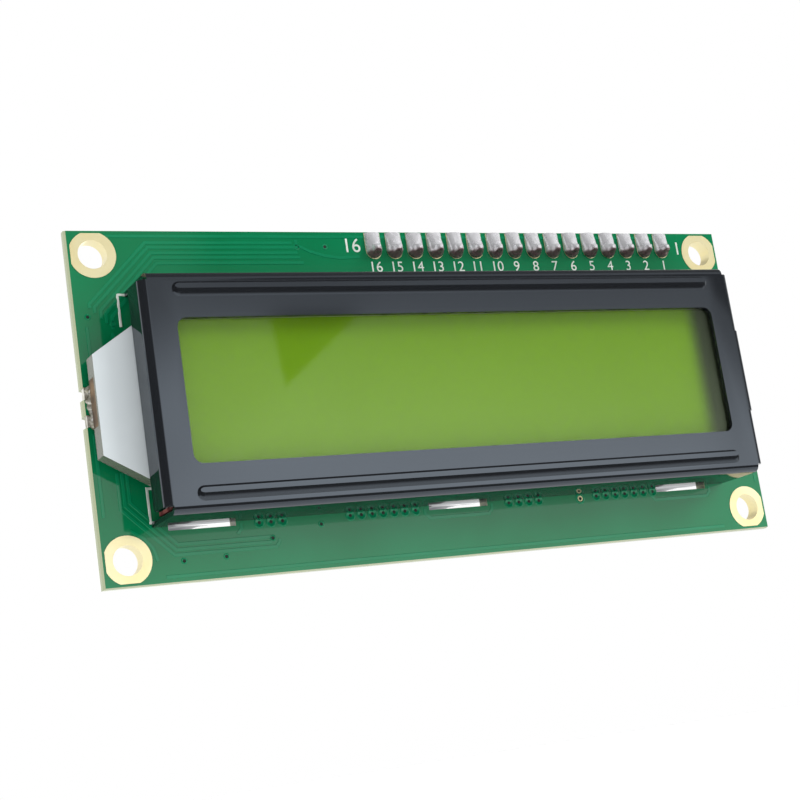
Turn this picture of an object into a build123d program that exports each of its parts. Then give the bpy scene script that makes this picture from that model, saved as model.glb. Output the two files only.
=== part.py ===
from build123d import *

import os
from math import atan, degrees, radians, tan

# Character LCD module, two rows of sixteen, with an edge-lit display. Sizes are in millimetres.
# X runs along the board, Z runs up it, and the display faces -Y. The origin is the centre of
# the four mounting holes, on the front face of the circuit board.

# Circuit board
board_length = 80.0
board_height = 36.0
board_thickness = 1.6
score_stand = 0.12        # how far the broken web of the scored edge stands out
score_depth = 0.5         # depth of the scored groove from either face

# Mounting holes, through-plated
hole_margin = 2.5         # hole's middle to the board's two nearest edges
hole_diameter = 3.0
ring_diameter = 4.9
ring_margin = 0.25        # bare laminate left between a ring and the board's edge
copper = 0.05             # copper and plating, the same on faces and in holes

# Header: a row of square pins soldered from the back
pin_count = 16
pin_pitch = 2.54
pin_side = 0.64
pin_end_distance = 7.9    # last pin to the board's right end
pin_edge_distance = 2.1   # pin row to the board's top edge
pin_tip = 1.4             # pin standing in front of the board
pin_tail = 6.0            # pin standing behind the housing
pin_point = 0.18
pin_hole_diameter = 1.1
header_pad_width = 1.9
header_pad_margin = 0.1   # pad's end to the board's top edge
housing_depth = 2.54
housing_width = 2.5
housing_corner = 0.45
solder_inset = 0.08       # solder stays inside the pad's outline
solder_wall = 0.14        # solder around the pin at its top
solder_height = 1.1
solder_corner = 0.42      # of the pad's half width, cut off the lower corners

# Sheet steel frame around the display
frame_end_margin = 4.5    # frame's end to the board's end
frame_side_margin = 6.0   # frame's long side to the board's edge, before the drop
frame_depth = 7.0         # front face above the board
frame_drop = 0.5          # frame's centre below the board's centre
sheet = 0.5
bend_radius = 0.85        # outside radius of every bend, and size of the corner notches
window_end_margin = 3.4   # window to the frame's end
window_side_margin = 4.75
window_radius = 1.0
rib_overrun = 0.1         # rib beyond the window's end
rib_width = 1.5
rib_margin = 1.85         # rib's middle to the frame's long side
rib_raise = 0.35
rib_taper = 35
flap_share = 0.5          # end flap, as a share of the frame's depth
flap_corner = 0.5
pad_raise = 0.15          # pressed pad on the right end flap
pad_share = 0.39          # of the frame's height
pad_drop = 0.25

# Locking tabs of the frame, twisted behind the board
tab_count = 3
tab_inset = 6.5           # outer tabs' middle to the frame's end, before the shift
tab_shift = -0.5
tab_width = 6.2
tab_tip_width = 5.6
tab_length = 2.7          # behind the board
tab_twist = 28.0
tab_turn_depth = 0.9      # where the twist begins, below the board's front face
slot_end_gap = 0.45
slot_side_gap = 0.42

# Display cell
glass_thickness = 1.05
seal_thickness = 0.1
seal_width = 1.2
polarizer_thickness = 0.2
glass_gap = 0.4           # glass to the inside of the frame
polarizer_lap = 1.4       # polarizer beyond the window on each side
rear_glass_lap = 1.5      # rear glass beyond the window, above and below

# Backlight
diffuser_thickness = 0.2
reflector_thickness = 0.2
guide_lap = 1.1           # light guide beyond the window, above and below
guide_end_gap = 0.7       # light guide to the inside of the frame's end
neck_margin = 0.32        # neck's end to the board's left end
neck_top_share = 0.21     # of the guide's height, lost along the neck's upper side
neck_bottom_share = 0.19
neck_lift = 1.1           # neck above the board
neck_clearance = 0.4      # neck's front to the end flap's edge
film_thickness = 0.1
film_reach = 0.6          # cover film under the end flap
led_length = 4.8
led_width = 1.45
led_depth_share = 0.75    # of the neck's thickness
led_drop = 0.2            # lamp's middle below the board's middle
led_pitch = 2.8
led_gap = 0.02
lead_side = 0.25
lead_inset = 0.45         # lead's middle to the board's left edge
lead_reach = 1.0          # lead into the board's edge notch
notch_radius = 0.6
notch_solder_depth = 0.55
notch_solder_rise = 0.2

# Elastomer connectors between glass and board
strip_thickness = 1.9
strip_end_gap = 1.2       # connector's end to the inside of the frame's end
strip_gap = 0.3           # connector to the rear glass
contact_pitch = 1.8
contact_width = 1.0

# Parts on the back: shares are of the spacing between the frame's tabs
blob_diameter = 15.0
blob_height = 1.6
blob_share = 1.03
blob_shift = -2.0
blob_drop = 1.5
small_blob_scale = 0.86
chip_length = 2.0
chip_width = 1.25
chip_thickness = 0.55
resistor_count = 6
resistor_share = 0.114    # from one resistor to the next
resistor_start_share = 0.176
chip_row_drop = 5.2       # chip row below the pin row
capacitor_thickness = 0.9
capacitor_count = 2
capacitor_share = 0.124
capacitor_start_share = -0.448

# Places that follow from the sizes above
back_face = Plane.XZ.offset(-board_thickness)
hole_places = [
    (side_x * (board_length / 2 - hole_margin), side_z * (board_height / 2 - hole_margin))
    for side_z in (1, -1)
    for side_x in (-1, 1)
]
pin_row = board_height / 2 - pin_edge_distance
pin_places = [
    (board_length / 2 - pin_end_distance - number * pin_pitch, pin_row)
    for number in range(pin_count)
]
frame_length = board_length - 2 * frame_end_margin
frame_height = board_height - 2 * frame_side_margin
frame_middle = -frame_drop
flap_depth = flap_share * frame_depth
window_length = frame_length - 2 * window_end_margin
window_height = frame_height - 2 * window_side_margin
rib_length = window_length + 2 * rib_overrun
rib_offset = frame_height / 2 - rib_margin
wall_middle = frame_height / 2 - sheet / 2
tab_spacing = (frame_length - 2 * tab_inset) / (tab_count - 1)
tab_places = [
    (tab_shift + (number - (tab_count - 1) / 2) * tab_spacing, frame_middle + side * wall_middle)
    for side in (1, -1)
    for number in range(tab_count)
]
led_places = [
    (-board_length / 2, side * led_pitch / 2 - led_drop)
    for side in (1, -1)
]

glass_front = frame_depth - sheet - polarizer_thickness
seal_front = glass_front - glass_thickness
rear_glass_front = seal_front - seal_thickness
rear_polarizer_front = rear_glass_front - glass_thickness
diffuser_front = rear_polarizer_front - polarizer_thickness
guide_front = diffuser_front - diffuser_thickness

glass_length = frame_length - 2 * (sheet + glass_gap)
front_glass_height = frame_height - 2 * (sheet + glass_gap)
rear_glass_height = window_height + 2 * rear_glass_lap
guide_length = frame_length - 2 * (sheet + guide_end_gap)
guide_height = window_height + 2 * guide_lap
guide_left = -guide_length / 2
guide_top = frame_middle + guide_height / 2
guide_bottom = frame_middle - guide_height / 2
neck_end = -board_length / 2 + neck_margin
neck_length = guide_left - neck_end
neck_top_taper = neck_top_share * guide_height
neck_bottom_taper = neck_bottom_share * guide_height
film_front = frame_depth - flap_depth - neck_clearance
neck_thickness = film_front - neck_lift
led_depth = led_depth_share * neck_thickness

os.makedirs("parts", exist_ok=True)


def save(piece, name):
    """Label a finished piece and write it under its own name."""
    piece.part.label = name
    export_step(piece.part, f"parts/{name}.step")


# Circuit board: a scored and broken panel, so its edges stand out a little at mid thickness
score_taper = degrees(atan(score_stand / score_depth))
with BuildPart() as circuit_board:
    with BuildSketch(Plane.XZ.offset(-score_depth)):
        Rectangle(board_length + 2 * score_stand, board_height + 2 * score_stand)
    extrude(amount=score_depth, taper=score_taper)
    with BuildSketch(Plane.XZ.offset(-score_depth)):
        Rectangle(board_length + 2 * score_stand, board_height + 2 * score_stand)
    extrude(amount=-(board_thickness - 2 * score_depth))
    with BuildSketch(Plane.XZ.offset(-(board_thickness - score_depth))):
        Rectangle(board_length + 2 * score_stand, board_height + 2 * score_stand)
    extrude(amount=-score_depth, taper=score_taper)
    with BuildSketch(Plane.XZ):
        with Locations(*hole_places):
            Circle(hole_diameter / 2 + copper)
        with Locations(*pin_places):
            Circle(pin_hole_diameter / 2 + copper)
        with Locations(*tab_places):
            Rectangle(tab_width + 2 * slot_end_gap, sheet + 2 * slot_side_gap)
        with Locations(*led_places):
            Circle(notch_radius)
    extrude(amount=-board_thickness, mode=Mode.SUBTRACT)
save(circuit_board, "circuit_board")

# Plated mounting holes: a barrel with a ring on either face, cut flat beside the board's edges
for number, place in enumerate(hole_places, start=1):
    with BuildPart() as mounting_ring:
        for face, rise in ((Plane.XZ, copper), (back_face, -copper)):
            with BuildSketch(face):
                with Locations(place):
                    Circle(ring_diameter / 2)
                Rectangle(
                    board_length - 2 * ring_margin,
                    board_height - 2 * ring_margin,
                    mode=Mode.INTERSECT,
                )
                with Locations(place):
                    Circle(hole_diameter / 2, mode=Mode.SUBTRACT)
            extrude(amount=rise)
        with BuildSketch(Plane.XZ):
            with Locations(place):
                Circle(hole_diameter / 2 + copper)
                Circle(hole_diameter / 2, mode=Mode.SUBTRACT)
        extrude(amount=-board_thickness)
    save(mounting_ring, f"mounting_ring_{number}")

# Header pads: long pads with one round end, from the pin row to the board's top edge
header_pad_straight = pin_edge_distance - header_pad_margin
with BuildPart() as header_pads:
    for face, rise in ((Plane.XZ, copper), (back_face, -copper)):
        with BuildSketch(face):
            with Locations(*pin_places):
                Circle(header_pad_width / 2)
                with Locations((0, header_pad_straight / 2)):
                    Rectangle(header_pad_width, header_pad_straight)
            with Locations(*pin_places):
                Rectangle(pin_side, pin_side, mode=Mode.SUBTRACT)
        extrude(amount=rise)
save(header_pads, "header_pads")

# Header housing: a moulded strip with a notch between every two pins
housing_face = Plane.XZ.offset(-(board_thickness + copper))
with BuildPart() as header_housing:
    with BuildSketch(housing_face) as housing_outline:
        with Locations(*pin_places):
            Rectangle(pin_pitch, housing_width)
        with BuildLine(mode=Mode.PRIVATE) as notch:
            Polyline(
                (-housing_corner, housing_width / 2),
                (housing_corner, housing_width / 2),
                (0, housing_width / 2 - housing_corner),
                close=True,
            )
        notch_face = make_face(notch.edges(), mode=Mode.PRIVATE)
        notch_places = [
            (pin_places[0][0] + pin_pitch / 2 - step * pin_pitch, pin_row)
            for step in range(pin_count + 1)
        ]
        with Locations(*notch_places):
            add(notch_face, mode=Mode.SUBTRACT)
            add(notch_face, rotation=180, mode=Mode.SUBTRACT)
        with Locations(*pin_places):
            Rectangle(pin_side, pin_side, mode=Mode.SUBTRACT)
    extrude(amount=-housing_depth)
save(header_housing, "header_housing")

# Header pins: square wire with both ends pointed
pin_length = pin_tip + board_thickness + copper + housing_depth + pin_tail
for number, place in enumerate(pin_places, start=1):
    with BuildPart() as header_pin:
        with BuildSketch(Plane.XZ.offset(pin_tip)):
            with Locations(place):
                Rectangle(pin_side, pin_side)
        extrude(amount=-pin_length)
        ends = header_pin.faces().sort_by(Axis.Y)
        chamfer(ends[0].edges() + ends[-1].edges(), length=pin_point)
    save(header_pin, f"header_pin_{number:02d}")

# Solder on the header pads: from the whole pad up to the pin, around which it stays a little wider
solder_base = header_pad_width / 2 - solder_inset
solder_top = pin_side / 2 + solder_wall
with BuildPart() as header_solder:
    for x, z in pin_places:
        for height, half, top in (
            (copper, solder_base, header_pad_straight - solder_inset),
            (solder_height, solder_top, solder_top),
        ):
            corner = solder_corner * half
            with BuildSketch(Plane.XZ.offset(height)):
                Polygon(
                    (x - half, z + top),
                    (x - half, z - half + corner),
                    (x - half + corner, z - half),
                    (x + half - corner, z - half),
                    (x + half, z - half + corner),
                    (x + half, z + top),
                    align=None,
                )
        loft(ruled=True)
    with BuildSketch(Plane.XZ.offset(copper)):
        with Locations(*pin_places):
            Rectangle(pin_side, pin_side)
    extrude(amount=pin_tip - copper, mode=Mode.SUBTRACT)
save(header_solder, "header_solder")

# Frame: one pressed and folded sheet, with a window, two raised ribs, four walls and six tabs
with BuildPart() as frame:
    with BuildSketch(Plane.XZ):
        with Locations((0, frame_middle)):
            Rectangle(frame_length, frame_height)
    extrude(amount=frame_depth)
    fillet(frame.faces().sort_by(Axis.Y)[0].edges(), bend_radius)

    with BuildPart(mode=Mode.SUBTRACT) as inside:
        with BuildSketch(Plane.XZ):
            with Locations((0, frame_middle)):
                Rectangle(frame_length - 2 * sheet, frame_height - 2 * sheet)
        extrude(amount=frame_depth - sheet)
        fillet(inside.faces().sort_by(Axis.Y)[0].edges(), bend_radius - sheet)

    # Ribs pressed out of the front face
    with BuildSketch(Plane.XZ.offset(frame_depth)):
        with Locations((0, frame_middle + rib_offset), (0, frame_middle - rib_offset)):
            SlotOverall(rib_length, rib_width)
    extrude(amount=rib_raise, taper=rib_taper)
    rib_inset = sheet * tan(radians(45 - rib_taper / 2))
    with BuildSketch(Plane.XZ.offset(frame_depth - sheet)):
        with Locations((0, frame_middle + rib_offset), (0, frame_middle - rib_offset)):
            SlotOverall(rib_length - 2 * rib_inset, rib_width - 2 * rib_inset)
    extrude(amount=rib_raise, taper=rib_taper, mode=Mode.SUBTRACT)

    # Window
    with BuildSketch(Plane.XZ.offset(frame_depth - sheet)):
        with Locations((0, frame_middle)):
            RectangleRounded(window_length, window_height, window_radius)
    extrude(amount=sheet, mode=Mode.SUBTRACT)

    # Pressed pad on the right end flap
    with BuildSketch(Plane.XY.offset(frame_middle - pad_drop - (pad_share * frame_height) / 2)):
        with Locations((frame_length / 2 - bend_radius + pad_raise, -frame_depth + bend_radius)):
            Circle(bend_radius)
        with Locations((frame_length / 2 + pad_raise - sheet, -frame_depth + bend_radius)):
            Rectangle(
                sheet, flap_depth - bend_radius, align=(Align.MIN, Align.MIN)
            )
        with Locations((frame_length / 2, -frame_depth + sheet)):
            Rectangle(
                2 * bend_radius, flap_depth, align=(Align.MAX, Align.MIN), mode=Mode.SUBTRACT
            )
    extrude(amount=(pad_share * frame_height))

    # End flaps stop short of the board
    with BuildSketch(Plane.XZ):
        with Locations((0, frame_middle)):
            Rectangle(frame_length + 4 * pad_raise, frame_height)
            Rectangle(frame_length - 2 * sheet, frame_height, mode=Mode.SUBTRACT)
    extrude(amount=frame_depth - flap_depth, mode=Mode.SUBTRACT)

    # Corners, notched through both bends so that the sheet could be folded
    with BuildSketch(Plane.XZ):
        with Locations((0, frame_middle)):
            Rectangle(frame_length, frame_height)
            Rectangle(frame_length - 2 * bend_radius, frame_height, mode=Mode.SUBTRACT)
            Rectangle(frame_length, frame_height - 2 * bend_radius, mode=Mode.SUBTRACT)
    extrude(amount=frame_depth, mode=Mode.SUBTRACT)
    flap_ends = (
        frame.edges()
        .filter_by(Axis.X)
        .filter_by(lambda edge: abs(edge.center().Y + frame_depth - flap_depth) < 1e-4)
    )
    fillet(flap_ends, flap_corner)

    # Locking tabs: straight through the slots, then twisted behind the board
    for x, z in tab_places:
        with BuildSketch(Plane.XZ):
            with Locations((x, z)):
                Rectangle(tab_width, sheet)
        extrude(amount=-tab_turn_depth)
        twist_depth = board_thickness + tab_length - tab_turn_depth
        turns = (0, 0.12, 0.3, 0.5, 0.7, 0.88, 1.0)
        for number, turn in enumerate(turns):
            depth = tab_turn_depth + twist_depth * number / (len(turns) - 1)
            width = tab_width + (tab_tip_width - tab_width) * turn
            with BuildSketch(Plane.XZ.offset(-depth)):
                with Locations(Location((x, z), turn * tab_twist)):
                    Rectangle(width, sheet)
        loft(ruled=True)
save(frame, "frame")

# Front polarizer, glued to the front glass and seen through the window
with BuildPart() as front_polarizer:
    with BuildSketch(Plane.XZ.offset(glass_front)):
        with Locations((0, frame_middle)):
            Rectangle(window_length + 2 * polarizer_lap, window_height + 2 * polarizer_lap)
    extrude(amount=polarizer_thickness)
save(front_polarizer, "front_polarizer")

# Front glass: the taller plate, whose bare ledges carry the contacts
with BuildPart() as front_glass:
    with BuildSketch(Plane.XZ.offset(seal_front)):
        with Locations((0, frame_middle)):
            Rectangle(glass_length, front_glass_height)
    extrude(amount=glass_thickness)
save(front_glass, "front_glass")

# Seal of the liquid crystal cell, a printed line of glue between the plates
with BuildPart() as cell_seal:
    with BuildSketch(Plane.XZ.offset(rear_glass_front)):
        with Locations((0, frame_middle)):
            Rectangle(glass_length, rear_glass_height)
            Rectangle(
                glass_length - 2 * seal_width,
                rear_glass_height - 2 * seal_width,
                mode=Mode.SUBTRACT,
            )
    extrude(amount=seal_thickness)
save(cell_seal, "cell_seal")

# Rear glass, with its polarizer behind it
with BuildPart() as rear_glass:
    with BuildSketch(Plane.XZ.offset(rear_polarizer_front)):
        with Locations((0, frame_middle)):
            Rectangle(glass_length, rear_glass_height)
    extrude(amount=glass_thickness)
save(rear_glass, "rear_glass")

with BuildPart() as rear_polarizer:
    with BuildSketch(Plane.XZ.offset(diffuser_front)):
        with Locations((0, frame_middle)):
            Rectangle(window_length + 2 * polarizer_lap, guide_height)
    extrude(amount=polarizer_thickness)
save(rear_polarizer, "rear_polarizer")

# Diffuser sheet on the front of the light guide
with BuildPart() as diffuser_sheet:
    with BuildSketch(Plane.XZ.offset(guide_front)):
        with Locations((0, frame_middle)):
            Rectangle(guide_length, guide_height)
    extrude(amount=diffuser_thickness)
save(diffuser_sheet, "diffuser_sheet")

# Light guide: a moulded clear block, with a thinner neck that carries the lamp past the frame
neck_outline = [
    (guide_left, guide_top),
    (guide_left, guide_bottom),
    (neck_end, guide_bottom + neck_bottom_taper),
    (neck_end, guide_top - neck_top_taper),
]
with BuildPart() as light_guide:
    with BuildSketch(Plane.XZ.offset(reflector_thickness)):
        with Locations((0, frame_middle)):
            Rectangle(guide_length, guide_height)
    extrude(amount=guide_front - reflector_thickness)
    with BuildSketch(Plane.XZ.offset(neck_lift)):
        Polygon(*neck_outline, align=None)
    extrude(amount=neck_thickness)
    with BuildSketch(Plane.XZ.offset(neck_lift)):
        with Locations((neck_end, -led_drop)):
            Rectangle(led_width + led_gap, led_length + 2 * led_gap, align=(Align.MIN, Align.CENTER))
    extrude(amount=led_depth + led_gap, mode=Mode.SUBTRACT)
save(light_guide, "light_guide")

# Reflector sheet between the light guide and the board
with BuildPart() as reflector_sheet:
    with BuildSketch(Plane.XZ):
        with Locations((0, frame_middle)):
            Rectangle(guide_length, guide_height)
    extrude(amount=reflector_thickness)
save(reflector_sheet, "reflector_sheet")

# Cover film on the neck: white, and cut to the neck's outline
film_edge = -frame_length / 2 + film_reach
film_share = (film_edge - neck_end) / neck_length
with BuildPart() as cover_film:
    with BuildSketch(Plane.XZ.offset(film_front)):
        Polygon(
            (neck_end, guide_bottom + neck_bottom_taper),
            (neck_end, guide_top - neck_top_taper),
            (film_edge, guide_top - neck_top_taper * (1 - film_share)),
            (film_edge, guide_bottom + neck_bottom_taper * (1 - film_share)),
            align=None,
        )
    extrude(amount=film_thickness)
save(cover_film, "cover_film")

# Lamp: a cast strip of two chips, set into the back of the neck
with BuildPart() as backlight_lamp:
    with BuildSketch(Plane.XZ.offset(neck_lift)):
        with Locations((neck_end, -led_drop)):
            Rectangle(led_width, led_length, align=(Align.MIN, Align.CENTER))
    extrude(amount=led_depth)
save(backlight_lamp, "backlight_lamp")

# Lamp leads, soldered into two plated notches in the board's left edge
lead_middle = -board_length / 2 + lead_inset
for number, (_, z) in enumerate(led_places, start=1):
    with BuildPart() as lamp_lead:
        with BuildSketch(Plane.XZ.offset(neck_lift)):
            with Locations((lead_middle, z)):
                Rectangle(lead_side, lead_side)
        extrude(amount=-(neck_lift + lead_reach))
    save(lamp_lead, f"lamp_lead_{number}")
    with BuildPart() as lamp_solder:
        with BuildSketch(Plane.XZ.offset(notch_solder_rise)):
            with Locations((-board_length / 2, z)):
                Circle(notch_radius)
                with Locations((-notch_radius, 0)):
                    Rectangle(2 * notch_radius, 3 * notch_radius, mode=Mode.SUBTRACT)
            with Locations((lead_middle, z)):
                Rectangle(lead_side, lead_side, mode=Mode.SUBTRACT)
        extrude(amount=-(notch_solder_rise + notch_solder_depth))
    save(lamp_solder, f"lamp_solder_{number}")

# Elastomer connectors, squeezed between the front glass and the board's contacts
strip_offset = rear_glass_height / 2 + strip_gap + strip_thickness / 2
strip_length = frame_length - 2 * (sheet + strip_end_gap)
contact_count = int(strip_length / contact_pitch) - 2
contact_row = [
    ((number - (contact_count - 1) / 2) * contact_pitch, 0) for number in range(contact_count)
]
for name, side in (("upper", 1), ("lower", -1)):
    strip_middle = frame_middle + side * strip_offset
    with BuildPart() as elastomer_strip:
        with BuildSketch(Plane.XZ.offset(copper)):
            with Locations((0, strip_middle)):
                Rectangle(strip_length, strip_thickness)
        extrude(amount=seal_front - copper)
    save(elastomer_strip, f"{name}_elastomer_strip")
    with BuildPart() as board_contacts:
        with BuildSketch(Plane.XZ):
            with Locations((0, strip_middle)):
                with Locations(*contact_row):
                    Rectangle(contact_width, strip_thickness)
        extrude(amount=copper)
    save(board_contacts, f"{name}_board_contacts")

# Driver chips on the back, each under a drop of black epoxy
for name, side, scale in (("controller", -1, 1.0), ("driver", 1, small_blob_scale)):
    blob_x = blob_shift + side * blob_share * tab_spacing / 2
    radius = scale * blob_diameter / 2
    with BuildPart() as blob:
        with BuildSketch(Plane.XY.offset(-blob_drop)):
            with BuildLine():
                top = (blob_x, board_thickness + blob_height)
                TangentArc(top, (blob_x + radius, board_thickness), tangent=(1, 0))
                Line((blob_x + radius, board_thickness), (blob_x, board_thickness))
                Line((blob_x, board_thickness), top)
            make_face()
        revolve(axis=Axis((blob_x, 0, -blob_drop), (0, 1, 0)))
    save(blob, f"{name}_blob")

# Chip resistors and capacitors in one row below the header
chip_row = pin_row - chip_row_drop
chips = [
    ("resistor", resistor_count, resistor_start_share, resistor_share, chip_thickness),
    ("capacitor", capacitor_count, capacitor_start_share, capacitor_share, capacitor_thickness),
]
for kind, count, start_share, share, thickness in chips:
    for number in range(count):
        chip_x = (start_share + number * share) * tab_spacing
        with BuildPart() as chip:
            with BuildSketch(back_face):
                with Locations((chip_x, chip_row)):
                    Rectangle(chip_width, chip_length)
            extrude(amount=-thickness)
        save(chip, f"chip_{kind}_{number + 1}")
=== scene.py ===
from math import cos, pi, radians, sin

import bmesh
import bpy
from mathutils import Matrix, Vector


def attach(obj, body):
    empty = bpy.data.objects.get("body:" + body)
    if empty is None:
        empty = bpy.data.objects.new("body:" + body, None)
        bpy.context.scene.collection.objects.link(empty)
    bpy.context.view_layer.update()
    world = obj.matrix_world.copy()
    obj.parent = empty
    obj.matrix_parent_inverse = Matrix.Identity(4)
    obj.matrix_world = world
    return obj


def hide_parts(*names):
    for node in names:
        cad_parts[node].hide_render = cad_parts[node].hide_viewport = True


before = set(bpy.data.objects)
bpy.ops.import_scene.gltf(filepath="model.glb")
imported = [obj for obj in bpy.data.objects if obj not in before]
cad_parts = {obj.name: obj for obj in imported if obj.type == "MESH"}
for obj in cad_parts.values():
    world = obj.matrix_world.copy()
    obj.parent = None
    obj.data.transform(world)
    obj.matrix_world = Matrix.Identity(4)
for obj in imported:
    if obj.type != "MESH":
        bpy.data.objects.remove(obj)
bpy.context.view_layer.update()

# Studio. The camera stands low and to the left of the display, a little under its middle,
# and is rolled, so that the module seems to hang in white space. All lengths are in metres.
view_azimuth, view_elevation, view_roll = radians(-27.822), radians(-11.530), radians(-8.6254)
view_distance, view_right, view_up = 0.184515, -0.004806, -0.001042
lens_mm = 76.70

backward = Vector((
    sin(view_azimuth) * cos(view_elevation),
    -cos(view_azimuth) * cos(view_elevation),
    sin(view_elevation),
))
level_right = Vector((0, 0, 1)).cross(backward).normalized()
level_up = backward.cross(level_right)
rightward = cos(view_roll) * level_right + sin(view_roll) * level_up
upward = -sin(view_roll) * level_right + cos(view_roll) * level_up

camera = bpy.data.objects.new("camera", bpy.data.cameras.new("camera"))
bpy.context.collection.objects.link(camera)
camera.data.sensor_width = 36.0
camera.data.lens = lens_mm
camera.data.clip_start = 0.01
camera.data.clip_end = 20.0
stand = Matrix((rightward, upward, backward)).transposed().to_4x4()
stand.translation = view_distance * backward + view_right * rightward + view_up * upward
camera.matrix_world = stand
bpy.context.scene.camera = camera


def soft_light(name, place, size, power):
    """An area light that faces the origin and that glossy faces don't mirror."""
    lamp = bpy.data.lights.new(name, "AREA")
    lamp.shape = "RECTANGLE"
    lamp.size, lamp.size_y = size
    lamp.energy = power
    holder = bpy.data.objects.new(name, lamp)
    holder.location = place
    holder.rotation_euler = Vector(place).to_track_quat("Z", "Y").to_euler()
    holder.visible_glossy = False
    bpy.context.collection.objects.link(holder)


soft_light("key_light", (0.95, -0.80, 0.55), (0.6, 0.6), 9.0)
soft_light("side_light", (-1.2, -0.2, 0.35), (0.3, 0.8), 1.6)

# Room, as glossy faces mirror it: a white backdrop, and at the front right a large white card in a
# dim room. The card fades upwards and has a dark wedge and a dim gap, which the display and frame show.
surround = bpy.data.worlds.new("white_room")
surround.use_nodes = True
bpy.context.scene.world = surround
room, wires = surround.node_tree.nodes, surround.node_tree.links


def room_math(operation, first, second=None):
    """A Math or Vector Math node of the room, fed by sockets or fixed values."""
    vector = operation == "DOT_PRODUCT"
    node = room.new("ShaderNodeVectorMath" if vector else "ShaderNodeMath")
    node.operation = operation
    for socket, value in zip(node.inputs, (first, second)):
        if isinstance(value, bpy.types.NodeSocket):
            wires.new(value, socket)
        elif value is not None:
            socket.default_value = value
    return node.outputs["Value"]


def room_ramp(value, start, end, low, high):
    """A smooth step between two brightnesses."""
    node = room.new("ShaderNodeMapRange")
    node.interpolation_type = "SMOOTHSTEP"
    wires.new(value, node.inputs["Value"])
    for socket, number in zip(list(node.inputs)[1:5], (start, end, low, high)):
        socket.default_value = number
    return node.outputs["Result"]


towards = room.new("ShaderNodeTexCoord").outputs["Generated"]
axes = room.new("ShaderNodeSeparateXYZ")
wires.new(towards, axes.inputs[0])
right, up = axes.outputs["X"], axes.outputs["Z"]
lean = room_math("DOT_PRODUCT", towards, (0.25, 0, 1))
slant = room_math("DOT_PRODUCT", towards, (-0.619, -0.086, 0.781))
wedge_side = room_math("DOT_PRODUCT", towards, (0.903, 0.422, 0.083))
above_window = room_math("DOT_PRODUCT", towards, (0, 0.2793, 0.9602))
below = room_math("DOT_PRODUCT", towards, (0, 0.8, -0.6))

# The wedge lies between two slanting planes and stops at the window's top edge, and the gap is a
# dim band above it. Each ramp holds where it starts and ends, and its brightness at both.
wedge = room_ramp(room_math("MINIMUM", slant, wedge_side), -0.002, 0.003, 1.0, 0.06)
wedge = room_math("MAXIMUM", wedge, room_ramp(above_window, -0.001, 0.004, 0.0, 1.0))
dim_gap = room_math("MAXIMUM", room_ramp(above_window, 0.02, 0.034, 1.0, 0.2),
                    room_ramp(right, 0.335, 0.37, 1.0, 0.0))
dim_gap = room_math("MAXIMUM", dim_gap, room_ramp(above_window, 0.08, 0.2, 0.0, 1.0))
card = room_ramp(lean, 0.27, 0.385, 1.95, 0.6)
for factor in (
    room_ramp(right, 0.28, 0.42, 0.88, 1.0),
    room_ramp(right, -0.05, 0.25, 0.04, 1.0),
    room_ramp(up, -0.25, -0.05, 0.02, 1.0),
    wedge,
    room_ramp(slant, -0.004, 0.006, 1.0, 0.9),
    room_ramp(up, 0.55, 0.78, 1.0, 0.3),
    room_ramp(right, 0.602, 0.625, 1.0, 0.78),
    dim_gap,
):
    card = room_math("MULTIPLY", card, factor)
foreground = room_math("MULTIPLY", room_ramp(below, -0.22, -0.08, 0.0, 0.85),
                       room_ramp(up, -0.42, -0.3, 1.0, 0.0))
backdrop = room_math("MAXIMUM", room_ramp(below, 0.12, 0.3, 0.0, 1.0), foreground)
mirrored = room_math("MAXIMUM", card, backdrop)
rays = room.new("ShaderNodeLightPath")
brightness = room.new("ShaderNodeMix")
wires.new(rays.outputs["Is Glossy Ray"], brightness.inputs[0])
brightness.inputs[2].default_value = 1.0
wires.new(mirrored, brightness.inputs[3])
wires.new(brightness.outputs[0], room["Background"].inputs["Strength"])
room["Background"].inputs["Color"].default_value = (1, 1, 1, 1)
bpy.context.scene.view_settings.view_transform = "Standard"


# Floor: matt white paper, far larger than the picture. It glows faintly, so that it reads as white,
# and glossy faces don't mirror it.
def mesh_piece(name, points, faces):
    """A new object at the origin from points and faces."""
    mesh = bpy.data.meshes.new(name)
    mesh.from_pydata(points, [], faces)
    mesh.update()
    piece = bpy.data.objects.new(name, mesh)
    bpy.context.collection.objects.link(piece)
    return piece


def finish_material(name, colour, roughness=0.5, metallic=0.0, **sockets):
    """A new node material, and its shader, with fixed values on the shader's own sockets."""
    material = bpy.data.materials.new(name)
    material.use_nodes = True
    shader = material.node_tree.nodes["Principled BSDF"]
    shader.inputs["Base Color"].default_value = (*colour, 1)
    shader.inputs["Roughness"].default_value = roughness
    shader.inputs["Metallic"].default_value = metallic
    for socket, value in sockets.items():
        shader.inputs[socket.replace("_", " ")].default_value = value
    return material, shader


def blotches(material, shader, socket, scale, low, high):
    """Soft noise on Object coordinates between two values or colours of one socket."""
    nodes, links = material.node_tree.nodes, material.node_tree.links
    place, noise = nodes.new("ShaderNodeTexCoord"), nodes.new("ShaderNodeTexNoise")
    noise.inputs["Scale"].default_value = scale
    noise.inputs["Detail"].default_value = 2.0
    ramp = nodes.new("ShaderNodeValToRGB")
    for stop, position, value in zip(ramp.color_ramp.elements, (0.35, 0.65), (low, high)):
        stop.position = position
        stop.color = (*value, 1) if isinstance(value, tuple) else (value, value, value, 1)
    links.new(place.outputs["Object"], noise.inputs["Vector"])
    links.new(noise.outputs["Fac"], ramp.inputs["Fac"])
    links.new(ramp.outputs["Color"], shader.inputs[socket])


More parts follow.
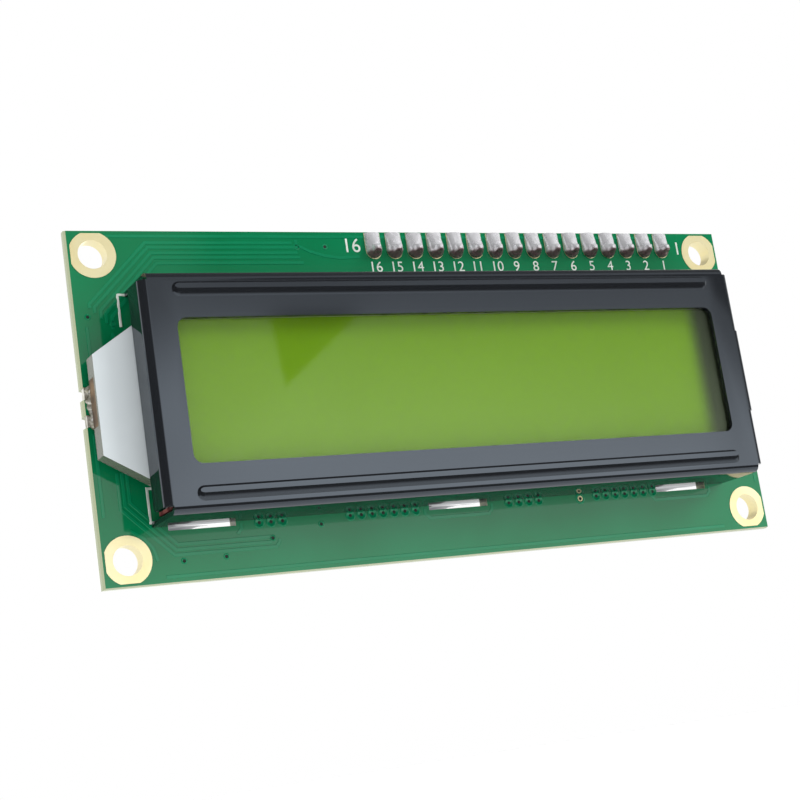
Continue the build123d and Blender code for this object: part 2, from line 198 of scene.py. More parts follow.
floor_reach, floor_height = 8, -0.115
floor = mesh_piece("floor", [(x * floor_reach, y * floor_reach, floor_height)
                             for x, y in ((-1, -1), (1, -1), (1, 1), (-1, 1))], [(0, 1, 2, 3)])
floor_white, paper = finish_material("floor_white", (0.97, 0.97, 0.97), 0.9,
                                     Emission_Color=(1, 1, 1, 1), Emission_Strength=0.09)
blotches(floor_white, paper, "Roughness", 30.0, 0.85, 0.95)
floor.data.materials.append(floor_white)
floor.visible_glossy = False


# Circuit board: glass-fibre laminate under a glossy green solder mask. The panel was scored and
# broken, so its edges are bare and pale. Places and sizes of pieces are in mm from here on, and
# distances inside a material stay in metres.
def fine_bump(material, shader, scale, strength, distance, detail=2.0):
    """Small noise bump on Object coordinates."""
    nodes, links = material.node_tree.nodes, material.node_tree.links
    place, noise = nodes.new("ShaderNodeTexCoord"), nodes.new("ShaderNodeTexNoise")
    noise.inputs["Scale"].default_value = scale
    noise.inputs["Detail"].default_value = detail
    bump = nodes.new("ShaderNodeBump")
    bump.inputs["Strength"].default_value = strength
    bump.inputs["Distance"].default_value = distance
    links.new(place.outputs["Object"], noise.inputs["Vector"])
    links.new(noise.outputs["Fac"], bump.inputs["Height"])
    links.new(bump.outputs["Normal"], shader.inputs["Normal"])


def dress(node, material):
    """Give a carried-over solid its material."""
    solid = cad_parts[node]
    if not solid.material_slots:
        solid.data.materials.append(material)
    for slot in solid.material_slots:
        slot.material = material


board_front, board_back = 0.0, 1.6
bare_laminate, least_face_turn = (0.36, 0.40, 0.24, 1), 0.7
mask_green, mask = finish_material("solder_mask_green", (0.001, 0.16, 0.06), 0.06, IOR=1.44)
blotches(mask_green, mask, "Base Color", 90.0, (0.0008, 0.15, 0.052), (0.002, 0.175, 0.066))
fine_bump(mask_green, mask, 2500.0, 0.06, 0.00002)


def paint_board_edge():
    """Bare laminate where the board's face is turned away from the front and back."""
    nodes, links = mask_green.node_tree.nodes, mask_green.node_tree.links
    colour_from = mask.inputs["Base Color"].links[0].from_socket
    geometry = nodes.new("ShaderNodeNewGeometry")
    parts = nodes.new("ShaderNodeSeparateXYZ")
    turn = nodes.new("ShaderNodeMath")
    turn.operation = "ABSOLUTE"
    edge = nodes.new("ShaderNodeMath")
    edge.operation = "LESS_THAN"
    edge.inputs[1].default_value = least_face_turn
    mix = nodes.new("ShaderNodeMix")
    mix.data_type = "RGBA"
    mix.inputs[7].default_value = bare_laminate
    links.new(geometry.outputs["Normal"], parts.inputs[0])
    links.new(parts.outputs["Y"], turn.inputs[0])
    links.new(turn.outputs[0], edge.inputs[0])
    links.new(edge.outputs[0], mix.inputs[0])
    links.new(colour_from, mix.inputs[6])
    links.new(mix.outputs[2], mask.inputs["Base Color"])


paint_board_edge()
dress("circuit_board", mask_green)


# Tracks: copper under the mask, which lies over it as low bars and is paler there. They run from
# the header and the plated holes to the chips on the back.
def ribbon(name, runs, width, face, rise, material):
    """Low bars with sloping sides along runs of (x, z) points in mm, on one face of the board."""
    points, faces = [], []
    out = -1 if face == board_front else 1
    for run in runs:
        path = [Vector(point) for point in run]
        first = len(points)
        for number, here in enumerate(path):
            last = number == len(path) - 1
            behind = (here - path[number - 1]).normalized() if number else None
            ahead = behind if last else (path[number + 1] - here).normalized()
            behind = behind or ahead
            along = (ahead + behind).normalized()
            across = Vector((-along.y, along.x)) / max(0.4, along.dot(ahead))
            for reach, height in ((width / 2 + rise, 0), (width / 2, rise),
                                  (-width / 2, rise), (-width / 2 - rise, 0)):
                place = here + reach * across
                points.append((place.x / 1000, (face + out * height) / 1000, place.y / 1000))
        for number in range(len(path) - 1):
            for column in range(3):
                near = first + 4 * number + column
                quad = (near, near + 1, near + 5, near + 4)
                faces.append(quad if out < 0 else quad[::-1])
        for near in (first, len(points) - 4):
            faces.append((near, near + 1, near + 2, near + 3))
    piece = mesh_piece(name, points, faces)
    piece.data.materials.append(material)
    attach(piece, "root")


track_green, track = finish_material("mask_over_copper", (0.003, 0.19, 0.078), 0.07, IOR=1.44)
blotches(track_green, track, "Base Color", 120.0, (0.002, 0.18, 0.072), (0.004, 0.2, 0.085))
track_width, track_rise = 0.28, 0.035

# Five tracks lie side by side, each moved in by its distance from the outermost one
bundle_left, bundle_foot, bundle_knee, bundle_top = -38.4, 9.9, 10.3, 16.75
bundle_bend, bundle_right = -31.9, -15.6
bundle = [
    [(bundle_left + step, bundle_foot - step), (bundle_left + step, bundle_knee - 0.6 * step),
     (bundle_bend + 0.45 * step, bundle_top - step), (bundle_right + 0.5 * step, bundle_top - step)]
    for step in (0.0, 0.5, 1.1, 1.6, 2.2)
]
single_tracks = [
    [(-15.1, 17.1), (-15.1, 16.3), (-14.6, 16.3), (-13.6, 15.8), (-11.9, 15.3), (-10.2, 15.08),
     (-7.8, 15.2)],
    [(-36.6, -6.9), (-36.6, -9.9), (-32.23, -14.32), (-22.41, -14.31)],
    [(-37.1, -6.9), (-37.1, -10.2), (-32.45, -14.85), (-22.3, -14.85)],
    [(-37.6, -6.9), (-37.6, -10.5), (-32.67, -15.35), (-21.9, -15.35), (-21.5, -14.9),
     (-21.5, -14.6)],
    [(-38.9, 8.0), (-38.9, 2.4)],
    [(-39.4, -2.9), (-39.4, -11.2)],
    [(-36.3, 7.3), (-36.3, 4.6)],
    [(-36.9, -12.65), (-35.7, -13.4), (-34.8, -14.5), (-34.5, -15.8)],
]
edge_lines = [
    [(-38.0, 17.45), (31.0, 17.45)],
    [(-33.8, -17.45), (33.8, -17.45)],
    [(39.45, -12.6), (39.45, 12.6)],
]
outline_half, outline_corner, outline_top, outline_bend, outline_foot = 4.1, 3.6, -12.7, -13.25, -13.75
slot_outlines = [
    [(x - outline_half, outline_top), (x - outline_half, outline_bend),
     (x - outline_corner, outline_foot), (x + outline_corner, outline_foot),
     (x + outline_half, outline_bend), (x + outline_half, outline_top)] for x in (-0.5, 28.5)
] + [
    [(-25.9, outline_foot), (-25.4, outline_bend), (-25.4, outline_top)],
]
ribbon("front_tracks", bundle + single_tracks + edge_lines + slot_outlines, track_width, board_front,
       track_rise, track_green)

# Plated through holes: each has a low ring of mask on both faces, round a dark disc of painted shade
# for the inside of the hole, and the rows beside the frame join the tracks of both faces.
def lathe(name, profile, segments=28):
    """A mesh turned about the Y axis from (radius, height) pairs in mm; it rises towards -Y."""
    points, faces = [], []
    for radius, height in profile:
        for step in range(segments):
            angle = 2 * pi * step / segments
            points.append((radius * cos(angle) / 1000, -height / 1000, radius * sin(angle) / 1000))
    for row in range(len(profile) - 1):
        for step in range(segments):
            here, there = row * segments + step, row * segments + (step + 1) % segments
            faces.append((here, there, there + segments, here + segments))
    piece = mesh_piece(name, points, faces)
    piece.data.shade_smooth()
    return piece


def repeat(name, template, places, material, turn=(0, 0, 0), spread=0.0, wobble=0.0, seed=1,
           grain=1400.0):
    """Geometry Nodes put a template at each place in mm, vary it a little, and give one mesh."""
    tree = bpy.data.node_groups.new(name + "_nodes", "GeometryNodeTree")
    socket = tree.interface.new_socket
    socket("Places", in_out="INPUT", socket_type="NodeSocketGeometry")
    ids = {}
    for label, kind in (("Template", "Object"), ("Turn", "Vector"), ("Size Spread", "Float"),
                        ("Wobble", "Float"), ("Grain", "Float"), ("Seed", "Int"),
                        ("Finish", "Material")):
        ids[label] = socket(label, in_out="INPUT", socket_type="NodeSocket" + kind).identifier
    socket("Pieces", in_out="OUTPUT", socket_type="NodeSocketGeometry")
    new, join = tree.nodes.new, tree.links.new
    given, result = new("NodeGroupInput"), new("NodeGroupOutput")
    shape, spots = new("GeometryNodeObjectInfo"), new("GeometryNodeMeshToPoints")
    size, copies = new("FunctionNodeRandomValue"), new("GeometryNodeInstanceOnPoints")
    least, most = new("ShaderNodeMath"), new("ShaderNodeMath")
    least.operation, most.operation = "SUBTRACT", "ADD"
    least.inputs[0].default_value = most.inputs[0].default_value = 1.0
    size.data_type = "FLOAT_VECTOR"
    real, move, finish = (new("GeometryNodeRealizeInstances"), new("GeometryNodeSetPosition"),
                          new("GeometryNodeSetMaterial"))
    noise, centred, scaled = (new("ShaderNodeTexNoise"), new("ShaderNodeVectorMath"),
                              new("ShaderNodeVectorMath"))
    noise.noise_dimensions = "4D"
    centred.operation, scaled.operation = "SUBTRACT", "SCALE"
    centred.inputs[1].default_value = (0.5, 0.5, 0.5)
    join(given.outputs["Places"], spots.inputs["Mesh"])
    join(given.outputs["Template"], shape.inputs["Object"])
    join(given.outputs["Size Spread"], least.inputs[1])
    join(given.outputs["Size Spread"], most.inputs[1])
    join(least.outputs[0], size.inputs["Min"])
    join(most.outputs[0], size.inputs["Max"])
    join(given.outputs["Seed"], size.inputs["Seed"])
    join(spots.outputs["Points"], copies.inputs["Points"])
    join(shape.outputs["Geometry"], copies.inputs["Instance"])
    join(given.outputs["Turn"], copies.inputs["Rotation"])
    join(size.outputs["Value"], copies.inputs["Scale"])
    join(copies.outputs["Instances"], real.inputs["Geometry"])
    join(given.outputs["Seed"], noise.inputs["W"])
    join(given.outputs["Grain"], noise.inputs["Scale"])
    join(noise.outputs["Color"], centred.inputs[0])
    join(centred.outputs["Vector"], scaled.inputs[0])
    join(given.outputs["Wobble"], scaled.inputs["Scale"])
    join(real.outputs["Geometry"], move.inputs["Geometry"])
    join(scaled.outputs["Vector"], move.inputs["Offset"])
    join(move.outputs["Geometry"], finish.inputs["Geometry"])
    join(given.outputs["Finish"], finish.inputs["Material"])
    join(finish.outputs["Geometry"], result.inputs["Pieces"])
    piece = mesh_piece(name, [tuple(value / 1000 for value in place) for place in places], [])
    repeater = piece.modifiers.new("repeat", "NODES")
    repeater.node_group = tree
    for label, value in (("Template", template), ("Turn", turn), ("Size Spread", spread),
                         ("Wobble", wobble / 1000), ("Grain", grain), ("Seed", seed),
                         ("Finish", material)):
        repeater[ids[label]] = value
    graph = bpy.context.evaluated_depsgraph_get()
    plain = bpy.data.meshes.new_from_object(piece.evaluated_get(graph), depsgraph=graph)
    piece.modifiers.clear()
    piece.data = plain
    bpy.data.objects.remove(template)
    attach(piece, "root")
    return piece


# The dark disc in each hole is painted shade, standing in for the shade inside the hole.
hole_shade, shade_disc_shader = finish_material("painted_hole_shade", (0.004, 0.02, 0.01), 0.5)
blotches(hole_shade, shade_disc_shader, "Base Color", 3000.0, (0.002, 0.012, 0.006), (0.008, 0.03, 0.016))
via_pitch, via_row_z = 1.27, -12.82
via_rows = [(-23.44, 3), (-13.3, 7), (5.74, 4), (17.06, 7)]
row_vias = [(x + via_pitch * step, via_row_z) for x, count in via_rows for step in range(count)]
small_vias = [(-15.08, 16.27), (-11.78, 16.33), (-38.7, 9.0), (-36.2, 8.24), (-22.2, -14.46),
              (-27.37, -15.93), (-31.81, -16.0), (-16.69, -13.45)]
row_ring = [(0.57, 0), (0.53, 0.055), (0.45, 0.06), (0.35, 0.02), (0.22, 0.012), (0.17, 0.0)]
small_ring = [(0.33, 0), (0.29, 0.035), (0.2, 0.035), (0.16, 0.0)]
row_hole, small_hole = [(0.18, 0.006), (0, 0.006)], [(0.17, 0.006), (0, 0.006)]
facing_back = (0, 0, pi)
for face, height, turn in (("front", board_front, (0, 0, 0)), ("back", board_back, facing_back)):
    for kind, vias, ring, hole in (("row", row_vias, row_ring, row_hole),
                                   ("small", small_vias, small_ring, small_hole)):
        places = [(x, height, z) for x, z in vias]
        repeat(f"{face}_{kind}_rings", lathe("ring", ring), places, track_green, turn)
        repeat(f"{face}_{kind}_holes", lathe("hole", hole), places, hole_shade, turn)

# Mounting holes: copper barrels and rings with a thin gold plating, lying on both faces. One small
# hole beside the frame is left bare too.
gold, gold_shader = finish_material("gold_plating", (0.93, 0.79, 0.42), 0.32, 0.78)
fine_bump(gold, gold_shader, 1500.0, 0.15, 0.00003)
blotches(gold, gold_shader, "Base Color", 260.0, (0.95, 0.84, 0.46), (0.97, 0.89, 0.56))
for number in range(1, 5):
    dress(f"mounting_ring_{number}", gold)
bare_via = (14.9, board_front, -12.95)
bare_mask_ring = [(0.62, 0), (0.58, 0.04), (0.36, 0.04), (0.33, 0.0)]
bare_ring = [(0.33, 0.0), (0.31, 0.03), (0.2, 0.03), (0.17, 0.0)]
repeat("bare_mask_ring", lathe("ring", bare_mask_ring), [bare_via], track_green)
repeat("bare_ring", lathe("ring", bare_ring), [bare_via], gold)
repeat("bare_hole", lathe("hole", row_hole), [bare_via], hole_shade)

# Printing: white ink, screened on the mask and baked. It marks the frame's corners and numbers the
# header's pins, all of them on the front and the two end ones on the back.
white_ink, ink = finish_material("white_ink", (0.62, 0.68, 0.62), 0.55)
blotches(white_ink, ink, "Base Color", 900.0, (0.5, 0.58, 0.52), (0.7, 0.75, 0.7))
frame_marks = [
    [(-34.6, 11.25), (-35.4, 11.25), (-35.4, 7.9)],
    [(-34.1, -8.6), (-34.75, -8.6), (-34.75, -12.0), (-33.9, -12.0)],
]
line_width, line_rise = 0.18, 0.05
ribbon("frame_marks", frame_marks, line_width, board_front, line_rise, white_ink)


def pin_numbers(name, words, face, material):
    """Plain numbers of white ink; each word has a place (x, z), a height in mm and a text."""
    digit_share = 0.72
    thickness = 0.01
    side, lift = (0, -thickness) if face == board_front else (pi, thickness)
    work = bmesh.new()
    for x, z, height, text in words:
        type_face = bpy.data.curves.new(name, "FONT")
        type_face.body = text
        type_face.size = height / 1000 / digit_share
        type_face.align_x = "CENTER"
        type_face.extrude = thickness / 1000
        letter = bpy.data.objects.new(name, type_face)
        bpy.context.collection.objects.link(letter)
        graph = bpy.context.evaluated_depsgraph_get()
        flat = bpy.data.meshes.new_from_object(letter.evaluated_get(graph), depsgraph=graph)
        flat.transform(Matrix.Translation((x / 1000, (face + lift) / 1000, z / 1000))
                       @ Matrix.Rotation(side, 4, "Z") @ Matrix.Rotation(pi / 2, 4, "X"))
        work.from_mesh(flat)
        bpy.data.objects.remove(letter)
    mesh = bpy.data.meshes.new(name)
    work.to_mesh(mesh)
    work.free()
    mesh.materials.append(material)
    piece = bpy.data.objects.new(name, mesh)
    bpy.context.collection.objects.link(piece)
    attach(piece, "root")


pin_count, pin_pitch, first_pin, pin_row = 16, 2.54, 32.1, 15.9
pin_places = [(first_pin - number * pin_pitch, pin_row) for number in range(pin_count)]
end_height, pin_height, pin_number_z, back_number_z = 1.6, 1.2, 13.5, 15.2
left_end, right_end = (-8.6, 15.74), (34.45, 15.4)
front_words = [(*left_end, end_height, "16"), (*right_end, end_height, "1")]
front_words += [(x, pin_number_z, pin_height, str(number))
                for number, (x, z) in enumerate(pin_places, start=1)]
back_words = [(left_end[0], back_number_z, end_height, "16"),
              (right_end[0], back_number_z, end_height, "1")]
pin_numbers("front_numbers", front_words, board_front, white_ink)
pin_numbers("back_numbers", back_words, board_back, white_ink)

# Header: a black moulded strip on the back holds sixteen square gold-plated pins. Their front ends
# are soldered to long pads that reach the board's top edge.
dress("header_pads", gold)
nylon, nylon_shader = finish_material("black_nylon", (0.014, 0.014, 0.015), 0.45)
fine_bump(nylon, nylon_shader, 3000.0, 0.3, 0.00002)
dress("header_housing", nylon)
solder, solder_shader = finish_material("bright_solder", (0.80, 0.79, 0.80), 0.22, 0.6)
blotches(solder, solder_shader, "Roughness", 700.0, 0.1, 0.4)


def dull_the_underside():
    """Painted shade and light: each joint's colour is dark and slightly reddish where its face turns down,
    and near-white where it turns up.
    """
    shaded_colour, lit_colour = (0.26, 0.18, 0.18, 1), (0.94, 0.94, 0.97, 1)
    shaded_below, lit_above = -0.35, 0.1
    nodes, links = solder.node_tree.nodes, solder.node_tree.links
    geometry, parts = nodes.new("ShaderNodeNewGeometry"), nodes.new("ShaderNodeSeparateXYZ")
    tone = nodes.new("ShaderNodeMapRange")
    mix = nodes.new("ShaderNodeMix")
    for socket, value in zip(list(tone.inputs)[1:5], (shaded_below, lit_above, 0.0, 1.0)):
        socket.default_value = value
    mix.data_type = "RGBA"
    mix.inputs[6].default_value = shaded_colour
    mix.inputs[7].default_value = lit_colour
    links.new(geometry.outputs["Normal"], parts.inputs[0])
    links.new(parts.outputs["Z"], tone.inputs["Value"])
    links.new(tone.outputs["Result"], mix.inputs[0])
    links.new(mix.outputs[2], solder_shader.inputs["Base Color"])


dull_the_underside()
fine_bump(solder, solder_shader, 900.0, 0.5, 0.00006)
pin_wire, wire_shader = finish_material("pin_wire", (0.9, 0.74, 0.36), 0.22, 1.0)
blotches(pin_wire, wire_shader, "Roughness", 800.0, 0.16, 0.3)


def tin_the_front_ends():
    """The pins are gold behind the board and coated with solder in front of it."""
    plated, soldered = (0.9, 0.74, 0.36, 1), (0.80, 0.79, 0.80, 1)
    nodes, links = pin_wire.node_tree.nodes, pin_wire.node_tree.links
    place, parts = nodes.new("ShaderNodeTexCoord"), nodes.new("ShaderNodeSeparateXYZ")
    front, mix = nodes.new("ShaderNodeMath"), nodes.new("ShaderNodeMix")
    front.operation = "LESS_THAN"
    front.inputs[1].default_value = 0.0
    mix.data_type = "RGBA"
    mix.inputs[6].default_value = plated
    mix.inputs[7].default_value = soldered
    links.new(place.outputs["Object"], parts.inputs[0])
    links.new(parts.outputs["Y"], front.inputs[0])
    links.new(front.outputs[0], mix.inputs[0])
    links.new(mix.outputs[2], wire_shader.inputs["Base Color"])


tin_the_front_ends()
for number in range(1, pin_count + 1):
    dress(f"header_pin_{number:02d}", pin_wire)


def solder_joint(half, top, peak):
    """One joint in mm: a dome round the pin that runs out along the pad to the board's edge."""
    columns, rows, points, faces = 26, 40, [], []
    skin, pin_end, pin_rise = 0.05, 0.5, 0.42
    roundness, thinning, thinning_power = 0.55, 0.62, 1.4
    for row in range(rows + 1):
        z = -half + (half + top) * row / rows
        width = half * max(0.0, 1 - (z / half) ** 2) ** 0.5 if z < 0 else half
        if z < 0:
            along = max(0.0, 1 - (z / half) ** 2) ** roundness
        else:
            along = 1 - thinning * (z / top) ** thinning_power
        for column in range(columns + 1):
            part = -1 + 2 * column / columns
            x = part * width
            bulge = peak * max(0.0, 1 - part * part) ** roundness * along
            nub = pin_rise * max(0.0, 1 - (max(abs(x), abs(z)) / pin_end) ** 4)
            points.append((x / 1000, -(skin + bulge + nub) / 1000, z / 1000))
    for row in range(rows):
        for column in range(columns):
            here = row * (columns + 1) + column
            faces.append((here, here + 1, here + columns + 2, here + columns + 1))
    faces.append(tuple(rows * (columns + 1) + column for column in range(columns + 1)))
    piece = mesh_piece("joint", points, faces)
    piece.data.shade_smooth()
    piece.data.set_sharp_from_angle(angle=radians(60))
    return piece


joint_half, joint_top, joint_peak = 0.91, 2.0, 1.0
header_joints = repeat("header_joints", solder_joint(joint_half, joint_top, joint_peak),
                       [(x, board_front, z) for x, z in pin_places], solder,
                       spread=0.03, wobble=0.14, seed=7)
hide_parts("header_solder")

# Display frame: pressed and folded sheet steel in gloss black paint, slipped over the glass and
# held by six twisted tabs. The copy of the solid is merged so that its bends shade smoothly.
def smooth_copy(name, node, sharp_angle):
    """A merged, smooth-shaded copy of a node's mesh, which stands for the node."""
    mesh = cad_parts[node].data.copy()
    mesh.name = name
    work = bmesh.new()
    work.from_mesh(mesh)
    bmesh.ops.remove_doubles(work, verts=work.verts, dist=1e-6)
    work.to_mesh(mesh)
    work.free()
    if "custom_normal" in mesh.attributes:
        mesh.attributes.remove(mesh.attributes["custom_normal"])
    mesh.materials.clear()
    piece = bpy.data.objects.new(name, mesh)
    bpy.context.collection.objects.link(piece)
    mesh.shade_smooth()
    mesh.set_sharp_from_angle(angle=radians(sharp_angle))
    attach(piece, "root")
    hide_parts(node)
    return piece


paint_black, paint = finish_material("gloss_black_paint", (0.010, 0.011, 0.013), 0.07,
                                     IOR=1.84, Specular_Tint=(0.74, 0.86, 1.0, 1.0))
blotches(paint_black, paint, "Roughness", 60.0, 0.06, 0.09)
display_frame = smooth_copy("display_frame", "frame", sharp_angle=35.0)
display_frame.data.materials.append(paint_black)


def widen_the_lower_flanks(frame_middle, rib_offset, rib_top_depth, top_half, share):
    """Draw each rib's flat top up towards its upper edge, as the lower flank is the gentler one."""
    rows = [(frame_middle + side * rib_offset) / 1000 for side in (-1, 1)]
    for vertex in display_frame.data.vertices:
        upper_edge = min(rows, key=lambda row: abs(row - vertex.co.z)) + top_half / 1000
        if vertex.co.y < -rib_top_depth / 1000:
            vertex.co.z = upper_edge - share * (upper_edge - vertex.co.z)


widen_the_lower_flanks(frame_middle=-0.5, rib_offset=10.15, rib_top_depth=7.3, top_half=0.5, share=0.5)

# Display cell: two glass plates with the liquid crystal between them. The clear film and the
# front plate are see-through; the yellow-green layer lies at the rear plate.
clear_film, film = finish_material("clear_polarizer", (0.25, 0.30, 0.20), 0.02, 1.0, Alpha=0.12)
blotches(clear_film, film, "Roughness", 40.0, 0.015, 0.025)
dress("front_polarizer", clear_film)
clear_glass, glass = finish_material("clear_glass", (0.2, 0.22, 0.15), 0.03, IOR=1.5, Alpha=0.03)
blotches(clear_glass, glass, "Roughness", 40.0, 0.02, 0.04)
dress("front_glass", clear_glass)
crystal, layer = finish_material("crystal_layer", (0.16, 0.345, 0.004), 0.6, Specular_IOR_Level=0.0)
blotches(crystal, layer, "Base Color", 25.0, (0.155, 0.335, 0.004), (0.168, 0.355, 0.006))


def shade_the_far_end():
    """Painted shade: the layer's colour turns dark grey towards the frame's right end, where little light
    gets under the frame.
    """
    fade_start, fade_end, painted_shade_grey = 0.0292, 0.0318, (0.035, 0.05, 0.028, 1)
    nodes, links = crystal.node_tree.nodes, crystal.node_tree.links
    green_from = layer.inputs["Base Color"].links[0].from_socket
    place, parts = nodes.new("ShaderNodeTexCoord"), nodes.new("ShaderNodeSeparateXYZ")
    fade, mix = nodes.new("ShaderNodeMapRange"), nodes.new("ShaderNodeMix")
    fade.interpolation_type = "SMOOTHSTEP"
    for socket, value in zip(list(fade.inputs)[1:5], (fade_start, fade_end, 0.0, 1.0)):
        socket.default_value = value
    mix.data_type = "RGBA"
    mix.inputs[7].default_value = painted_shade_grey
    links.new(place.outputs["Object"], parts.inputs[0])
    links.new(parts.outputs["X"], fade.inputs["Value"])
    links.new(fade.outputs["Result"], mix.inputs[0])
    links.new(green_from, mix.inputs[6])
    links.new(mix.outputs[2], layer.inputs["Base Color"])


shade_the_far_end()
dress("rear_glass", crystal)
dress("rear_polarizer", crystal)
seal_glue, glue = finish_material("seal_glue", (0.35, 0.38, 0.25), 0.6)
blotches(seal_glue, glue, "Base Color", 400.0, (0.3, 0.33, 0.2), (0.4, 0.43, 0.3))
dress("cell_seal", seal_glue)

# Light guide: a clear acrylic block, moulded with a neck that reaches out at the frame's left end.
# White films spread and return the light: two sheets in the stack, and one over the neck.
acrylic, guide = finish_material("clear_acrylic", (0.2, 0.22, 0.18), 0.18, IOR=1.49,
                                 Specular_IOR_Level=0.25, Transmission_Weight=0.5)
blotches(acrylic, guide, "Base Color", 150.0, (0.15, 0.17, 0.11), (0.27, 0.3, 0.24))
dress("light_guide", acrylic)
white_film, cover = finish_material("white_film", (0.6, 0.65, 0.67), 0.6, IOR=1.3)
blotches(white_film, cover, "Base Color", 200.0, (0.59, 0.64, 0.66), (0.61, 0.66, 0.68))
for node in ("cover_film", "diffuser_sheet", "reflector_sheet"):
    dress(node, white_film)

# Lamp: a light-emitting chip cast in resin at the neck's end. Its two tinned wires are soldered in
# the notches of the board's left edge, in uneven lumps.
lamp_resin, resin = finish_material("lamp_resin", (0.45, 0.33, 0.2), 0.5, Specular_IOR_Level=0.12)
blotches(lamp_resin, resin, "Base Color", 500.0, (0.07, 0.045, 0.025), (0.26, 0.17, 0.09))
dress("backlight_lamp", lamp_resin)
tin, wire = finish_material("tinned_wire", (0.75, 0.74, 0.72), 0.3, 0.8)
blotches(tin, wire, "Roughness", 900.0, 0.2, 0.5)
grey_solder, tarnish = finish_material("grey_solder", (0.55, 0.53, 0.47), 0.3, 0.55)
blotches(grey_solder, tarnish, "Base Color", 1200.0, (0.3, 0.28, 0.2), (0.88, 0.87, 0.8))
for number in (1, 2):
    dress(f"lamp_lead_{number}", tin)
    dress(f"lamp_solder_{number}", grey_solder)
lump = [(0.56, 0), (0.53, 0.25), (0.38, 0.5), (0.16, 0.62), (0, 0.64)]
lump_places = [(-39.32, 0, 1.5), (-39.1, 0, 0.9), (-39.3, 0.2, 0.45), (-39.34, 0.3, -0.2),
               (-39.28, 0, -1.85), (-39.05, 0, -1.3), (-39.25, 0.2, -0.75)]
repeat("lamp_joints", lathe("lump", lump, segments=20), lump_places, grey_solder,
       spread=0.2, wobble=0.55, seed=4)

# Elastomer connectors: two strips of dark red silicone with conducting layers, squeezed between the
# display's glass and two rows of gold-plated contacts on the board. Nothing is soldered here.
silicone, rubber = finish_material("connector_silicone", (0.3, 0.1, 0.09), 0.8,
                                   Specular_IOR_Level=0.2)
blotches(silicone, rubber, "Base Color", 900.0, (0.07, 0.008, 0.01), (0.3, 0.1, 0.09))
for side in ("upper", "lower"):
    dress(f"{side}_elastomer_strip", silicone)
    dress(f"{side}_board_contacts", gold)

# Back tracks: copper under the mask, as on the front. Lanes run from the header between the small
# parts to the first chip, nine more join the two chips, and the plated rows feed the nearer one.
controller, driver = (-16.94, -1.5, 7.5), (12.94, -1.5, 6.45)
back_track_width, pad_foot, chamfer = 0.17, 14.7, 0.4
back_runs = [
    [(32.1, pad_foot), (32.1, 13.9), (33.4, 12.6), (33.4, 8.2)],
    [(29.56, pad_foot), (29.56, 13.7), (28.96, 13.1), (24.0, 13.1), (23.4, 12.5), (23.4, 9.9),
     (22.6, 9.2), (21.9, 9.2)],
    [(21.94, pad_foot), (21.94, 12.2)],
]

# A lane leaves its pin, shifts along a shelf, falls between two small parts, and turns to the chip
lanes = (19.98, 16.67, 13.37, 10.4, 9.7, 6.75, 3.85, 3.4, -4.6, -5.1)
first_lane_pin, shelf_z, last_shelf_z = 5, 13.6, 14.1
chip_pad_offset, chip_pad_pitch, chip_pad_z = 5.2, 0.85, 3.2
lowest_level, level_pitch = 5.9, 0.3
for number, lane in enumerate(lanes):
    x = pin_places[number + first_lane_pin][0]
    shelf = shelf_z if number < len(lanes) - 1 else last_shelf_z
    end = controller[0] + chip_pad_offset - chip_pad_pitch * number
    level = lowest_level + level_pitch * number
    step = max(-chamfer, min(chamfer, lane - x))
    back_runs.append([(x, pad_foot), (x, shelf + 0.3), (x + step, shelf), (lane - step / 2, shelf),
                      (lane, shelf - chamfer), (lane, level + 0.5), (lane - 0.5, level),
                      (end + 0.5, level), (end, level - 0.5), (end, chip_pad_z)])
link_count, lowest_link, link_pitch = 9, -4.6, 0.75
for step in range(link_count):
    level = lowest_link + link_pitch * step
    back_runs.append([(controller[0] + 6.2, level), (driver[0] - 5.0, level)])
gather, fan_top, fan_bend, fan_foot = 0.62, -6.4, -9.6, -11.4
for x, z in row_vias:
    chip = controller if x < 0 else driver
    near = chip[0] + gather * (x - chip[0])
    back_runs.append([(x, z + 0.5), (x, fan_foot), (near, fan_bend), (near, fan_top)])
ribbon("back_tracks", back_runs, back_track_width, board_back, track_rise, track_green)

# Printing on the back: the same white ink. A ring shows where each drop of epoxy is poured, and a
# frame shows where each small part is soldered.
small_part_z, resistor_pitch = 10.7, 3.306
resistor_places = [(5.10 + resistor_pitch * number, small_part_z) for number in range(6)]
capacitor_places = [(-12.99, small_part_z), (-9.40, small_part_z)]
ring_gap, box_half, box_reach = 0.75, 0.95, 1.75
back_marks = [[(x + (reach + ring_gap) * cos(radians(angle)), z + (reach + ring_gap) * sin(radians(angle)))
               for angle in range(0, 361, 6)] for x, z, reach in (controller, driver)]
back_marks += [[(x + across * box_half, z + along * box_reach)
                for across, along in ((-1, -1), (1, -1), (1, 1), (-1, 1), (-1, -1))]
               for x, z in resistor_places + capacitor_places]
back_line_width, back_line_rise = 0.16, 0.045
ribbon("back_marks", back_marks, back_line_width, board_back, back_line_rise, white_ink)

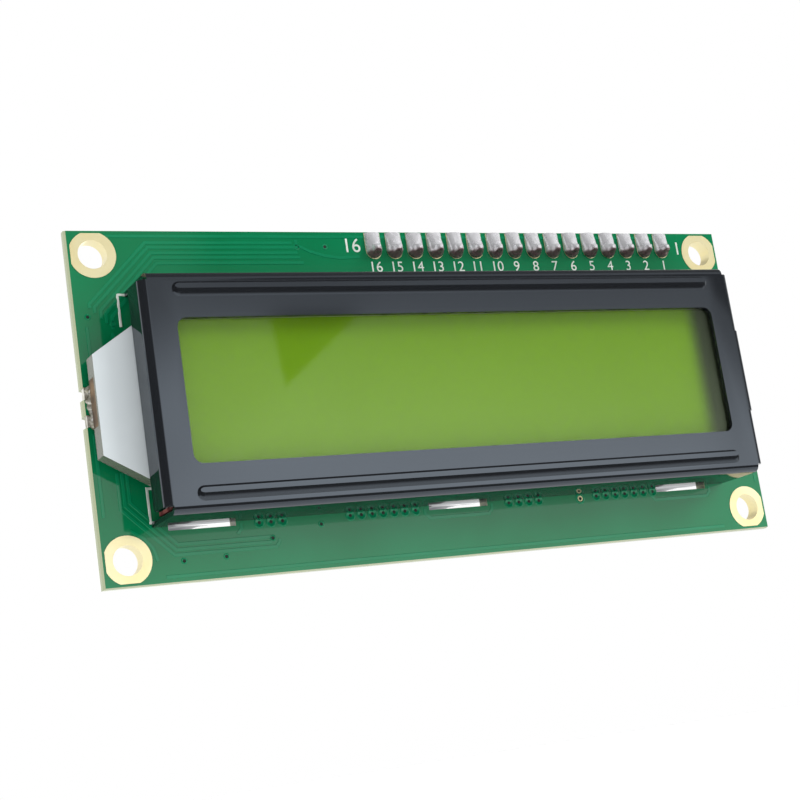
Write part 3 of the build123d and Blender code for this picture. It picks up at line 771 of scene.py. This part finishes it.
# Chips on the back: two bare chips, each under a poured drop of black epoxy, which sets with a soft,
# slightly uneven skin.
epoxy, drop = finish_material("black_epoxy", (0.01, 0.01, 0.011), 0.22, IOR=1.5)
blotches(epoxy, drop, "Roughness", 180.0, 0.16, 0.34)
fine_bump(epoxy, drop, 260.0, 0.25, 0.0001, 1.0)
drop_skin = [(0.985, -0.05), (0.98, 0.1), (0.945, 0.34), (0.87, 0.66), (0.76, 0.96), (0.62, 1.2),
             (0.45, 1.38), (0.27, 1.48), (0.12, 1.51), (0.0, 1.52)]
for chip, (x, z, reach), seed in (("controller", controller, 10), ("driver", driver, 6)):
    profile = [(reach * share, rise) for share, rise in drop_skin]
    poured = repeat(f"{chip}_drop", lathe("drop", profile, segments=96), [(x, board_back, z)],
                    epoxy, facing_back, wobble=0.22, seed=seed, grain=170.0)
    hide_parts(f"{chip}_blob")

# Resistors and capacitors: ceramic blocks with tinned ends. They are set in solder paste on the
# back and melted on in an oven, so that each end has a small fillet.
ceramic, glaze = finish_material("resistor_black", (0.02, 0.02, 0.02), 0.3)
blotches(ceramic, glaze, "Base Color", 1500.0, (0.014, 0.014, 0.015), (0.035, 0.034, 0.034))
for number in range(1, len(resistor_places) + 1):
    dress(f"chip_resistor_{number}", ceramic)
tan_ceramic, fired = finish_material("capacitor_tan", (0.35, 0.2, 0.1), 0.45)
blotches(tan_ceramic, fired, "Base Color", 1500.0, (0.3, 0.17, 0.085), (0.42, 0.26, 0.14))
for number in range(1, len(capacitor_places) + 1):
    dress(f"chip_capacitor_{number}", tan_ceramic)


def end_cap(height):
    """Solder round one end of a chip: over the ceramic, down its end and out along the pad."""
    half_width, foot_half_width = 0.65, 0.702
    wrap = [(0.58, 0), (0.58, height + 0.03), (1.0, height + 0.04), (1.04, height * 0.8),
            (1.12, height * 0.45), (1.25, height * 0.2)]
    foot = [(1.42, 0.03), (1.45, 0)]
    points = [(side * half / 1000, -y / 1000, z / 1000) for side in (-1, 1)
              for half, outline in ((half_width, wrap), (foot_half_width, foot)) for z, y in outline]
    count = len(wrap) + len(foot)
    faces = [(number, number + 1, number + 1 + count, number + count) for number in range(count - 1)]
    faces += [tuple(range(count - 1, -1, -1)), tuple(range(count, 2 * count))]
    return mesh_piece("cap", points, faces)


for name, height, places in (("resistor", 0.55, resistor_places),
                             ("capacitor", 0.9, capacitor_places)):
    for end, turn in (("upper", facing_back), ("lower", (pi, 0, 0))):
        repeat(f"{name}_{end}_ends", end_cap(height), [(x, board_back, z) for x, z in places],
               tin, turn, spread=0.03, seed=11)
